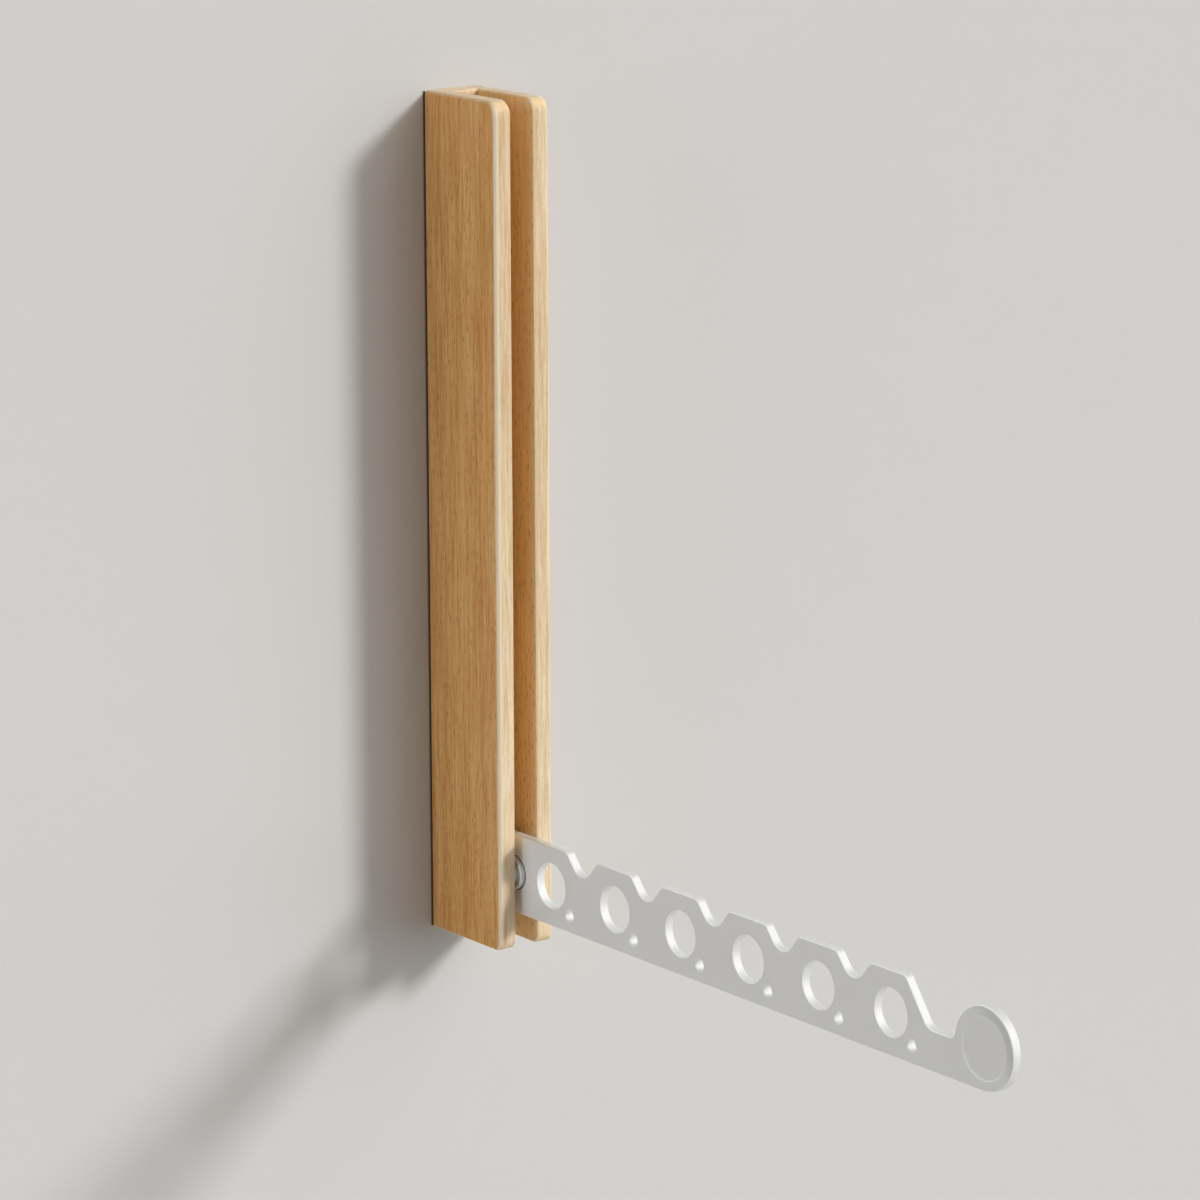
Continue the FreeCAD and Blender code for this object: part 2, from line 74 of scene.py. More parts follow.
class Wire:
    """An output of a node. Arithmetic on wires adds Math nodes, and node() adds a node of any other type."""

    def __init__(self, tree, socket=None):
        self.tree = tree
        self.socket = socket

    def node(self, kind, settings=None, sockets=None, output=0):
        """Add a node: its type, its settings, the values or wires of its inputs, and the output to return."""
        made = self.tree.nodes.new(kind)
        for name, value in (settings or {}).items():
            setattr(made, name, value)
        for name, value in (sockets or {}).items():
            self.feed(self.find(made.inputs, name), value)
        return Wire(self.tree, self.find(made.outputs, output)) if len(made.outputs) else None

    @staticmethod
    def find(group, name):
        """The socket with a number, or the one in use with a name."""
        if isinstance(name, int):
            return group[name]
        return next(socket for socket in group if socket.name == name and socket.enabled)

    def feed(self, socket, value):
        """Set a socket to a value, link it to a wire, or link it to each wire in a list."""
        for one in value if isinstance(value, list) else [value]:
            if isinstance(one, Wire):
                self.tree.links.new(one.socket, socket)
            elif isinstance(one, tuple) and socket.type == "RGBA":
                socket.default_value = (*one, 1.0)[:4]
            else:
                socket.default_value = one

    def also(self, name):
        """Another output of the same node."""
        return Wire(self.tree, self.find(self.socket.node.outputs, name))

    def math(self, operation, *values):
        return self.node("ShaderNodeMath", {"operation": operation}, dict(enumerate(values)))

    def __add__(self, other):
        return self.math("ADD", self, other)

    def __radd__(self, other):
        return self.math("ADD", other, self)

    def __sub__(self, other):
        return self.math("SUBTRACT", self, other)

    def __rsub__(self, other):
        return self.math("SUBTRACT", other, self)

    def __mul__(self, other):
        return self.math("MULTIPLY", self, other)

    def __rmul__(self, other):
        return self.math("MULTIPLY", other, self)

    def __gt__(self, other):
        return self.math("GREATER_THAN", self, other)

    def __lt__(self, other):
        return self.math("LESS_THAN", self, other)

    def __neg__(self):
        return self.math("MULTIPLY", self, -1.0)

    def __abs__(self):
        return self.math("ABSOLUTE", self)

    def larger(self, other):
        """The larger of this value and another one."""
        return self.math("MAXIMUM", self, other)

    def step(self, start, end):
        """0 up to start and 1 from end on, with a smooth rise between them."""
        settings = {"interpolation_type": "SMOOTHSTEP"}
        return self.node("ShaderNodeMapRange", settings, {"Value": self, "From Min": start, "From Max": end})

    def scaled(self, factors):
        """The vector multiplied by a factor along each axis."""
        return self.node("ShaderNodeVectorMath", {"operation": "MULTIPLY"}, {0: self, 1: factors})

    def moved(self, by):
        """The vector plus another one."""
        return self.node("ShaderNodeVectorMath", {"operation": "ADD"}, {0: self, 1: by})

    def parts(self):
        """The vector's x, y and z."""
        x = self.node("ShaderNodeSeparateXYZ", {}, {0: self})
        return x, x.also("Y"), x.also("Z")

    def from_x_axis(self):
        """How far this position lies from the x axis."""
        return self.node("ShaderNodeVectorMath", {"operation": "LENGTH"}, {0: self.scaled((0, 1, 1))}, "Value")

    def in_grains(self, size):
        """This position, counted in grains of the given size along each axis."""
        return self.scaled(tuple(1 / length for length in size))

    def noise(self, size, detail=2.0, roughness=0.5):
        """Smooth noise around 0.5 at this position, with grains of the given size along each axis."""
        return self.node("ShaderNodeTexNoise", {}, {
            "Vector": self.in_grains(size), "Scale": 1.0, "Detail": detail, "Roughness": roughness,
        })

    def relief(self, strength, depth):
        """The normal of a surface that this value raises, by up to the given depth."""
        return self.node("ShaderNodeBump", {}, {"Strength": strength, "Distance": depth, "Height": self})

    def mix(self, colour_a, colour_b):
        """colour_a where this value is 0 and colour_b where it is 1."""
        return self.node("ShaderNodeMix", {"data_type": "RGBA"},
                         {"Factor": self, "A": colour_a, "B": colour_b}, "Result")

    def mix_shaders(self, shader_a, shader_b):
        """shader_a where this value is 0 and shader_b where it is 1."""
        return self.node("ShaderNodeMixShader", {}, {0: self, 1: shader_a, 2: shader_b})

    def in_a_row(self, count, begin, gap):
        """This geometry copied in a straight row."""
        row = self.node("GeometryNodeMeshLine", {}, {"Count": count, "Start Location": begin, "Offset": gap})
        return self.node("GeometryNodeInstanceOnPoints", {}, {"Points": row, "Instance": self})


def new_finish(name):
    """A material with an empty tree, and a wire to start drawing it from."""
    finish = bpy.data.materials.new(name)
    finish.use_nodes = True
    finish.node_tree.nodes.clear()
    return finish, Wire(finish.node_tree)


def millimetres(start, origin=(0, 0, 0)):
    """Position on the piece in millimetres, from an origin that is given in metres."""
    place = start.node("ShaderNodeTexCoord", {}, {}, "Object").moved(tuple(-length for length in origin))
    return place.scaled((1 / MM, 1 / MM, 1 / MM))


def new_piece(name, mesh, finish):
    """An object at the origin that holds a mesh and wears one finish."""
    piece = bpy.data.objects.new(name, mesh)
    bpy.context.scene.collection.objects.link(piece)
    mesh.materials.clear()
    mesh.materials.append(finish)
    return piece


def paint(name, colour, seen_low, seen_high, painted_contact_shadow=False):
    """Matt paint with a faint mottle. In reflections it is a painted glow instead, in flat tones, one low on
    the wall and one higher up. With painted_contact_shadow, a painted contact shadow lies dark along the
    housing's sides and fades into the paint beside it."""
    finish, start = new_finish(name)
    place = millimetres(start)
    patches = place.noise((160, 160, 160))
    nap = place.noise((1.6, 1.6, 1.6))
    orange_peel = place.noise((1.2, 1.2, 1.2), 3.0)
    darker = tuple((1 - MOTTLE) * channel for channel in colour)
    lighter = tuple((1 + MOTTLE) * channel for channel in colour)
    coat = (patches * 0.5 + nap * 0.5).mix(darker, lighter)
    across, _, height = place.parts()
    # Painted contact shadow along the housing's sides, fading into the paint beside it.
    if painted_contact_shadow:
        beyond_housing = abs(height) > OPENING_HALF_HEIGHT / MM
        coat = abs(across).step(*CONTACT_SHADOW_FADE).larger(beyond_housing).mix(CONTACT_SHADOW_COLOUR, coat)
    surface = start.node("ShaderNodeBsdfPrincipled", {}, {
        "Base Color": coat, "Roughness": 0.85, "Normal": orange_peel.relief(0.25, 0.05 * MM),
    })
    # Glossy rays see a painted glow here instead of the lit paint.
    reflected_glow = start.node("ShaderNodeEmission", {}, {"Color": height.step(*SEEN_RISE).mix(seen_low, seen_high)})
    lit = start.node("ShaderNodeLightPath", {}, {}, "Is Glossy Ray").mix_shaders(surface, reflected_glow)
    hidden = start.node("ShaderNodeBsdfTransparent")
    both = start.node("ShaderNodeNewGeometry", {}, {}, "Backfacing").mix_shaders(lit, hidden)
    start.node("ShaderNodeOutputMaterial", {}, {"Surface": both})
    return finish


def wall_mesh():
    """The wall with its opening behind the housing, and the two discs in it, all facing the room."""
    mesh = bmesh.new()
    outer = [(-WALL_HALF_WIDTH, FLOOR_HEIGHT), (WALL_HALF_WIDTH, FLOOR_HEIGHT),
             (WALL_HALF_WIDTH, WALL_TOP), (-WALL_HALF_WIDTH, WALL_TOP)]
    inner = [(-OPENING_HALF_WIDTH, -OPENING_HALF_HEIGHT), (OPENING_HALF_WIDTH, -OPENING_HALF_HEIGHT),
             (OPENING_HALF_WIDTH, OPENING_HALF_HEIGHT), (-OPENING_HALF_WIDTH, OPENING_HALF_HEIGHT)]
    outer_corners = [mesh.verts.new((x, WALL_GAP, z)) for x, z in outer]
    inner_corners = [mesh.verts.new((x, WALL_GAP, z)) for x, z in inner]
    for here in range(4):
        after = (here + 1) % 4
        mesh.faces.new((outer_corners[here], outer_corners[after], inner_corners[after], inner_corners[here]))
    turns = [2 * math.pi * i / WALL_DISC_STEPS for i in range(WALL_DISC_STEPS)]
    for height in (-WALL_SCREW_HEIGHT, WALL_SCREW_HEIGHT):
        rim = [(WALL_DISC_RADIUS * math.cos(turn), WALL_GAP, height + WALL_DISC_RADIUS * math.sin(turn))
               for turn in turns]
        mesh.faces.new([mesh.verts.new(place) for place in rim])
    made = bpy.data.meshes.new("wall")
    mesh.to_mesh(made)
    mesh.free()
    return made


def floor_mesh():
    """One large flat square."""
    made = bpy.data.meshes.new("floor")
    corners = [(-FLOOR_REACH, -FLOOR_REACH), (FLOOR_REACH, -FLOOR_REACH),
               (FLOOR_REACH, FLOOR_REACH), (-FLOOR_REACH, FLOOR_REACH)]
    made.from_pydata([(x, y, FLOOR_HEIGHT) for x, y in corners], [], [(0, 1, 2, 3)])
    return made


wall_paint = paint("wall_paint", WALL_COLOUR, WALL_REFLECTED_GLOW_LOW, WALL_REFLECTED_GLOW_HIGH, painted_contact_shadow=True)
floor_paint = paint("floor_paint", FLOOR_COLOUR, FLOOR_SEEN, FLOOR_SEEN)
wall = new_piece("wall", wall_mesh(), wall_paint)
floor = new_piece("floor", floor_mesh(), floor_paint)


# ---- The light ----
# A key light comes over the right shoulder, with two broader and weaker ones round it, so that shadows are firm
# at their edge and fade slowly inside. A soft light from the left lies almost along the wall, and one behind
# the wall reaches the housing's back through the opening.
KEY_TRAVEL = (-39.2, 47.5, -28.0)
BACK_TRAVEL = (-0.30, -0.90, -0.30)
LEFT_TRAVEL = (0.96, 0.12, -0.16)
KEY_GLOW_COLOUR = (1.0, 0.99, 0.98)
KEY_ROOM_COLOUR = (1.0, 0.90, 0.78)
ROOM_COLOUR = (1.0, 1.0, 0.985)
ROOM_LEVEL = 0.015
ROOM_SEEN_DARK = (0.48, 0.48, 0.475)
ROOM_SEEN_LIGHT = (0.96, 0.96, 0.955)


def distant_light(name, travel, level, spread, colour=(1, 1, 1)):
    """A light from far away that gives a white surface facing it this level, spread over an angle in degrees.
    Glossy surfaces see the room instead of it."""
    lamp = bpy.data.lights.new(name, "SUN")
    lamp.energy = level * math.pi
    lamp.color = colour
    lamp.angle = math.radians(spread)
    holder = bpy.data.objects.new(name, lamp)
    holder.visible_glossy = False
    holder.rotation_euler = Vector(travel).to_track_quat("-Z", "Y").to_euler()
    bpy.context.scene.collection.objects.link(holder)


distant_light("key_light", KEY_TRAVEL, level=0.74, spread=11)
distant_light("key_glow", KEY_TRAVEL, level=0.45, spread=70, colour=KEY_GLOW_COLOUR)
distant_light("key_room", KEY_TRAVEL, level=0.20, spread=120, colour=KEY_ROOM_COLOUR)
distant_light("left_light", LEFT_TRAVEL, level=0.22, spread=30)
distant_light("back_light", BACK_TRAVEL, level=0.80, spread=60)

world = bpy.data.worlds.new("room")
world.use_nodes = True
world.node_tree.nodes.clear()
room = Wire(world.node_tree)
ray = room.node("ShaderNodeLightPath", {}, {}, "Is Camera Ray")
directly_seen = ray.larger(ray.also("Is Glossy Ray")).larger(ray.also("Is Transmission Ray"))
glow = room.node("ShaderNodeBackground", {}, {"Color": ROOM_COLOUR, "Strength": ROOM_LEVEL})
# What metal sees of the room grows lighter to the right and overhead, with one light patch at the front left.
rightwards, inwards, upwards = room.node("ShaderNodeTexCoord", {}, {}, "Generated").parts()
rise = rightwards.step(-0.9, 0.1) * 0.55 + upwards.step(-0.55, 0.75) * 0.45
front_left = (-rightwards).step(0.45, 0.72) * (-inwards).step(-0.2, 0.1)
brightness = rise.larger(front_left)
seen = room.node("ShaderNodeBackground", {}, {"Color": brightness.mix(ROOM_SEEN_DARK, ROOM_SEEN_LIGHT)})
room.node("ShaderNodeOutputWorld", {}, {"Surface": directly_seen.mix_shaders(glow, seen)})
bpy.context.scene.world = world
bpy.context.scene.view_settings.view_transform = "Standard"


# ---- The camera ----
# It stands to the left of the valet and a little above it, about two metres away. Its long lens keeps the
# upright edges nearly parallel, and it leans by a hair.
CAMERA_AZIMUTH = math.radians(-37.34)
CAMERA_ELEVATION = math.radians(13.12)
CAMERA_ROLL = math.radians(-0.145)
CAMERA_DISTANCE = 2034 * MM
CAMERA_AIM = Vector((0, -25 * MM, 0))
CAMERA_RIGHTWARDS = 44.02 * MM
CAMERA_UPWARDS = -31.75 * MM
SENSOR_WIDTH = 36.0
FOCAL_LENGTH = 149.81
NEAREST_SEEN = 10 * MM

back = Vector((math.sin(CAMERA_AZIMUTH) * math.cos(CAMERA_ELEVATION),
               -math.cos(CAMERA_AZIMUTH) * math.cos(CAMERA_ELEVATION), math.sin(CAMERA_ELEVATION)))
level_right = Vector((math.cos(CAMERA_AZIMUTH), math.sin(CAMERA_AZIMUTH), 0))
level_up = back.cross(level_right)
right = level_right * math.cos(CAMERA_ROLL) + level_up * math.sin(CAMERA_ROLL)
up = level_up * math.cos(CAMERA_ROLL) - level_right * math.sin(CAMERA_ROLL)
lens = bpy.data.cameras.new("camera")
lens.lens = FOCAL_LENGTH
lens.sensor_width = SENSOR_WIDTH
lens.clip_start = NEAREST_SEEN
camera = bpy.data.objects.new("camera", lens)
bpy.context.scene.collection.objects.link(camera)
camera.location = CAMERA_AIM + right * CAMERA_RIGHTWARDS + up * CAMERA_UPWARDS + back * CAMERA_DISTANCE
camera.rotation_euler = Matrix((right, up, back)).transposed().to_euler()
bpy.context.scene.camera = camera


# ---- Back rail and cheeks ----
# Three planed strips of beech with upright grain, glued into a U-shaped channel, rounded over with a router,
# sanded and oiled. Every strip is cut from another board, so its grain starts somewhere else.
# Tones by face stand in for light and shade: the left side is painted in shaded tones, the front and the slot
# in paler lit tones, and the right side keeps a plain wood tone.
SHADED_SIDE_DARK = (0.60, 0.255, 0.052)
SHADED_SIDE_LIGHT = (0.85, 0.50, 0.195)
RIGHT_DARK = (0.47, 0.285, 0.125)
RIGHT_LIGHT = (0.66, 0.46, 0.245)
LIT_SLOT_DARK = (0.66, 0.42, 0.18)
LIT_SLOT_LIGHT = (0.87, 0.60, 0.295)
# Painted light at the slot's mouth: its faces are painted lighter towards the front, where light falls in.
LIT_SLOT_MOUTH = (0.98, 0.77, 0.47)
LIT_SLOT_MOUTH_SHARE = 0.4
LIT_SLOT_MOUTH_RISE = (34, 47.5)
SLOT_HALF_WIDTH = 5.7 * MM
SLOT_MARGIN = 0.3 * MM
LIT_FRONT_DARK = (0.53, 0.375, 0.21)
LIT_FRONT_LIGHT = (0.74, 0.605, 0.42)
# Painted highlight: the rounded upright edges on the left are painted pale, as if catching light.
EDGE_HIGHLIGHT = (1.0, 0.85, 0.61)
EDGE_HIGHLIGHT_SHARE = 0.95
# Painted highlight: a warm lighter tone on the rounded top edges.
TOP_EDGE_HIGHLIGHT = (0.92, 0.63, 0.33)
TOP_EDGE_HIGHLIGHT_SHARE = 0.4
WANDER_SIZE = (14, 14, 60)
WANDER_REACH = (2.2, 2.2, 0)
TONE_SIZE = (11, 11, 170)
TONE_GAIN = 1.2
STREAK_SIZE = (1.1, 1.1, 32)
STREAK_GAIN = 2.3
FIBRE_SIZE = (0.32, 0.32, 5)
FIBRE_GAIN = 1.3
FLECK = (0.42, 0.175, 0.036)
FLECK_CELL = (1.0, 1.0, 6.5)
FLECK_RIM = (0.12, 0.28)
FLECK_MISSING = 0.35
FLECK_SHARE = 0.25
FLECK_MORE_ON_SIDE = 0.6
BOARDS = {"back_rail": (310, 140, 77), "left_cheek": (23, 41, 150), "right_cheek": (57, 263, 411)}


def grain_place(start, board, along="Z"):
    """Position in a board, in millimetres, with the grain along its last axis."""
    place = millimetres(start)
    if along == "X":
        x, y, z = place.parts()
        place = start.node("ShaderNodeCombineXYZ", {}, {"X": y, "Y": z, "Z": x})
    return place.moved(board)


def beech(name, board, along="Z"):
    """Oiled beech: drifting tone, fine streaks and short dark flecks. Its tones by face are painted light and
    shade:
    shaded tones on the left side, paler lit tones on the front and in the slot, painted light at the slot's
    mouth, and a plain wood tone on the right side. Its rounded edges carry painted highlights, and the rounded
    upright edges on the left gleam a little."""
    finish, start = new_finish(name)
    place = grain_place(start, board, along)
    wander = place.noise(WANDER_SIZE).also("Color").moved((-0.5, -0.5, -0.5)).scaled(WANDER_REACH)
    grain = place.moved(wander)
    tone = grain.noise(TONE_SIZE, 3.0)
    streaks = grain.noise(STREAK_SIZE, 4.0, 0.62)
    fibres = grain.noise(FIBRE_SIZE)
    lightness = 0.5 + (tone - 0.5) * TONE_GAIN + (streaks - 0.5) * STREAK_GAIN + (fibres - 0.5) * FIBRE_GAIN
    cells = start.node("ShaderNodeTexVoronoi", {}, {"Vector": grain.in_grains(FLECK_CELL), "Scale": 1.0})
    draw, _, _ = cells.also("Color").parts()
    flecks = (1 - cells.step(*FLECK_RIM)) * (draw > FLECK_MISSING)

    rightwards, inwards, upwards = start.node("ShaderNodeTexCoord", {}, {}, "Normal").parts()
    side, front, top = abs(rightwards), abs(inwards), abs(upwards)
    on_side = side.step(0.5, 0.98)
    on_right = rightwards > 0.5
    upright_edge = (-rightwards * front).step(0.05, 0.50)
    top_edge = (side.larger(front) * top).step(0.25, 0.48)
    across, depth, _ = millimetres(start).parts()
    in_slot = abs(across) < (SLOT_HALF_WIDTH + SLOT_MARGIN) / MM
    # Painted light falling into the slot's mouth.
    lit_near_mouth = (-depth).step(*LIT_SLOT_MOUTH_RISE)

    # Painted light and shade by face: shaded tones on the left side, lit tones in the slot and on the front.
    dark = in_slot.mix(on_right.mix(SHADED_SIDE_DARK, RIGHT_DARK), LIT_SLOT_DARK)
    light = in_slot.mix(on_right.mix(SHADED_SIDE_LIGHT, RIGHT_LIGHT), LIT_SLOT_LIGHT)
    side_colour = (in_slot * lit_near_mouth * LIT_SLOT_MOUTH_SHARE).mix(lightness.mix(dark, light), LIT_SLOT_MOUTH)
    lit_front_colour = lightness.mix(LIT_FRONT_DARK, LIT_FRONT_LIGHT)
    colour = on_side.mix(lit_front_colour, side_colour)
    # Painted highlight on the rounded top edges.
    colour = (top_edge * TOP_EDGE_HIGHLIGHT_SHARE).mix(colour, TOP_EDGE_HIGHLIGHT)
    # Painted highlight on the rounded upright edges on the left.
    colour = (upright_edge * EDGE_HIGHLIGHT_SHARE).mix(colour, EDGE_HIGHLIGHT)
    fleck_share = FLECK_SHARE + FLECK_MORE_ON_SIDE * side.step(0.6, 0.95)
    colour = (flecks * fleck_share * (1 - upright_edge)).mix(colour, FLECK)

    relief = (streaks * 0.4 + fibres * 0.6 - flecks * 0.4).relief(0.5, 0.05 * MM)
    surface = start.node("ShaderNodeBsdfPrincipled", {}, {
        "Base Color": colour, "Roughness": 0.40 + fibres * 0.2, "Normal": relief, "Specular IOR Level": 0.22,
        "Coat Weight": upright_edge * (0.2 + streaks * 0.7), "Coat IOR": 2.5, "Coat Roughness": 0.25,
    })
    start.node("ShaderNodeOutputMaterial", {}, {"Surface": surface})
    return finish


def dress(node_name, finish):
    """Give a piece of the frame its finish."""
    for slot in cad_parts[node_name].material_slots:
        slot.material = finish


for node_name, board in BOARDS.items():
    dress(node_name, beech("beech_" + node_name, board))


# ---- Cheek dowels ----
# Short beech dowels across the rail that line up the cheeks while the glue sets. Their grain runs along them,
# and they end inside the cheeks, so nothing shows from outside.
dress("cheek_dowels", beech("beech_dowels", (91, 17, 203), along="X"))


# ---- Ferrules ----
# Thin turned brass sleeves, pressed into the blind sockets in the cheeks that take the ends of the pivot pin.
# They spread the pin's load over the soft wood.
PIVOT_OUT = 41.5 * MM
PIVOT_HEIGHT = -144.2 * MM
PIVOT = (0, -PIVOT_OUT, PIVOT_HEIGHT)
BRASS_DARK = (0.62, 0.42, 0.17)
BRASS_LIGHT = (0.80, 0.60, 0.28)
RING_SIZE = (0.12, 0.12, 1)


def turned_metal(name, dark, light, roughness, metallic=1.0):
    """Metal turned on a lathe about the pivot: fine rings in its tone, gloss and relief."""
    finish, start = new_finish(name)
    place = millimetres(start, PIVOT)
    along, _, _ = place.parts()
    turned = start.node("ShaderNodeCombineXYZ", {}, {"X": place.from_x_axis(), "Y": along})
    rings = turned.noise(RING_SIZE, 3.0)
    clouds = place.noise((3, 3, 3))
    surface = start.node("ShaderNodeBsdfPrincipled", {}, {
        "Base Color": (rings * 0.6 + clouds * 0.4).mix(dark, light), "Metallic": metallic,
        "Roughness": roughness + (rings - 0.5) * 0.2, "Normal": rings.relief(0.5, 0.01 * MM),
    })
    start.node("ShaderNodeOutputMaterial", {}, {"Surface": surface})
    return finish


brass = turned_metal("turned_brass", BRASS_DARK, BRASS_LIGHT, roughness=0.32)
dress("left_ferrule", brass)
dress("right_ferrule", brass)


# ---- Strike plate ----
# A flat strip of stainless steel let onto the rail at the foot of the slot. The arm's heel bears on it. It is
# sheared from brushed stock, so its fine scratches run upright.
STEEL_DARK = (0.52, 0.52, 0.51)
STEEL_LIGHT = (0.72, 0.72, 0.71)
SCRATCH_SIZE = (0.07, 1.0, 5.0)


def brushed_steel(name):
    """Stainless steel with fine upright scratches and a slightly cloudy tone."""
    finish, start = new_finish(name)
    place = millimetres(start)
    scratches = place.noise(SCRATCH_SIZE, 3.0, 0.6)
    clouds = place.noise((4, 4, 9))
    surface = start.node("ShaderNodeBsdfPrincipled", {}, {
        "Base Color": (scratches * 0.6 + clouds * 0.4).mix(STEEL_DARK, STEEL_LIGHT), "Metallic": 1.0,
        "Roughness": 0.34 + (scratches - 0.5) * 0.25, "Normal": scratches.relief(0.5, 0.01 * MM),
    })
    start.node("ShaderNodeOutputMaterial", {}, {"Surface": surface})
    return finish


dress("strike_plate", brushed_steel("brushed_steel"))


# ---- Strike plate screws ----
# Two small zinc-plated countersunk wood screws with a cross recess, their heads flush with the plate. One
# screw is turned from its outline, and the pair is set out from it at the plate's screw spacing.
SCREW_HEAD_RADIUS = 2.75 * MM
SCREW_HEAD_DEPTH = 1.25 * MM
SCREW_RADIUS = 1.5 * MM
SCREW_CORE_RADIUS = 1.15 * MM
SCREW_LENGTH = 8.5 * MM
SCREW_THREAD_PITCH = 1.1 * MM
SCREW_RECESS_WIDTH = 0.6 * MM
SCREW_RECESS_LENGTH = 2.9 * MM
SCREW_RECESS_DEPTH = 0.9 * MM
SCREW_HEAD_OUT = 11.5 * MM
SCREW_LOW = -167.25 * MM
SCREW_SPACING = 30.5 * MM
SCREW_STEPS = 40
SCREW_CREASE = math.radians(35)
ZINC_DARK = (0.56, 0.58, 0.60)
ZINC_LIGHT = (0.74, 0.75, 0.76)


def zinc(name):
    """Zinc plating: a soft spangle in its tone, and fine grit in its gloss and relief."""
    finish, start = new_finish(name)
    place = millimetres(start)
    spangle = place.noise((0.9, 0.9, 0.9), 3.0)
    grit = place.noise((0.12, 0.12, 0.12))
    surface = start.node("ShaderNodeBsdfPrincipled", {}, {
        "Base Color": spangle.mix(ZINC_DARK, ZINC_LIGHT), "Metallic": 1.0,
        "Roughness": 0.30 + (grit - 0.5) * 0.2, "Normal": grit.relief(0.4, 0.01 * MM),
    })
    start.node("ShaderNodeOutputMaterial", {}, {"Surface": surface})
    return finish


def turned_mesh(name, outline, steps):
    """Mesh turned about the y axis from (distance, radius) points. The first and the last lie on the axis."""
    mesh = bmesh.new()
    turns = [2 * math.pi * i / steps for i in range(steps)]
    rings = []
    for along, radius in outline[1:-1]:
        places = [(radius * math.cos(turn), along, radius * math.sin(turn)) for turn in turns]
        rings.append([mesh.verts.new(place) for place in places])
    first = mesh.verts.new((0, outline[0][0], 0))
    last = mesh.verts.new((0, outline[-1][0], 0))
    for i in range(steps):
        j = (i + 1) % steps
        mesh.faces.new((first, rings[0][i], rings[0][j]))
        mesh.faces.new((last, rings[-1][j], rings[-1][i]))
        for near_ring, far_ring in zip(rings, rings[1:]):
            mesh.faces.new((near_ring[i], far_ring[i], far_ring[j], near_ring[j]))
    bmesh.ops.recalc_face_normals(mesh, faces=mesh.faces)
    made = bpy.data.meshes.new(name)
    mesh.to_mesh(made)
    mesh.free()
    return made


def new_geometry_tree(name, inputs):
    """A geometry tree with one geometry input, one material input and named sizes, and its input wires."""
    tree = bpy.data.node_groups.new(name, "GeometryNodeTree")
    tree.interface.new_socket("Geometry", in_out="INPUT", socket_type="NodeSocketGeometry")
    tree.interface.new_socket("Finish", in_out="INPUT", socket_type="NodeSocketMaterial")
    for input_name, value in inputs.items():
        kind = "NodeSocketInt" if isinstance(value, int) else "NodeSocketFloat"
        tree.interface.new_socket(input_name, in_out="INPUT", socket_type=kind)
    tree.interface.new_socket("Geometry", in_out="OUTPUT", socket_type="NodeSocketGeometry")
    source = Wire(tree).node("NodeGroupInput")
    return tree, {name: source.also(name) for name in ["Geometry", "Finish", *inputs]}


def finish_tree(geometry, finish):
    """End a geometry tree: real geometry instead of instances, and the finish on it."""
    real = geometry.node("GeometryNodeRealizeInstances", {}, {"Geometry": geometry})
    dressed = geometry.node("GeometryNodeSetMaterial", {}, {"Geometry": real, "Material": finish})
    geometry.node("NodeGroupOutput", {}, {0: dressed})


def run_tree(host, tree, finish, values):
    """Put a geometry tree on an object as a modifier, with its inputs set."""
    modifier = host.modifiers.new(tree.name, "NODES")
    modifier.node_group = tree
    for item in tree.interface.items_tree:
        if item.in_out == "INPUT" and item.name in values:
            modifier[item.identifier] = values[item.name]
        elif item.in_out == "INPUT" and item.name == "Finish":
            modifier[item.identifier] = finish


def settled_mesh(host):
    """Remove an object, and return the plain mesh that its modifiers made of it."""
    bpy.context.view_layer.update()
    evaluated = host.evaluated_get(bpy.context.evaluated_depsgraph_get())
    mesh = bpy.data.meshes.new_from_object(evaluated)
    bpy.data.objects.remove(host)
    return mesh


def screw_row_tree(sizes):
    """A row of copies of one screw, each with a cross recess in its head."""
    tree, wires = new_geometry_tree("screw_row", sizes)
    width, length, depth = wires["Recess Width"], wires["Recess Length"], wires["Recess Depth"] * 2
    screw = wires["Geometry"]
    bars = []
    for across, upright in ((length, width), (width, length)):
        size = screw.node("ShaderNodeCombineXYZ", {}, {"X": across, "Y": depth, "Z": upright})
        bars.append(screw.node("GeometryNodeMeshCube", {}, {"Size": size}))
    recessed = screw.node("GeometryNodeMeshBoolean", {"operation": "DIFFERENCE", "solver": "EXACT"},
                          {"Mesh 1": screw, "Mesh 2": bars})
    begin = screw.node("ShaderNodeCombineXYZ", {}, {"Y": -wires["Head Out"], "Z": wires["Lowest"]})
    gap = screw.node("ShaderNodeCombineXYZ", {}, {"Z": wires["Spacing"]})
    finish_tree(recessed.in_a_row(wires["Screws"], begin, gap), wires["Finish"])
    return tree


def screw_outline():
    """Flat head, cone, and a shank with its threads as plain ridges down to the end."""
    outline = [(0, 0), (0, SCREW_HEAD_RADIUS), (SCREW_HEAD_DEPTH, SCREW_RADIUS)]
    along = SCREW_HEAD_DEPTH + SCREW_THREAD_PITCH
    while along + SCREW_THREAD_PITCH < SCREW_LENGTH - SCREW_RADIUS:
        outline.append((along, SCREW_CORE_RADIUS))
        outline.append((along + SCREW_THREAD_PITCH / 2, SCREW_RADIUS))
        along += SCREW_THREAD_PITCH
    outline.append((along, SCREW_CORE_RADIUS))
    outline.append((SCREW_LENGTH, 0))
    return outline


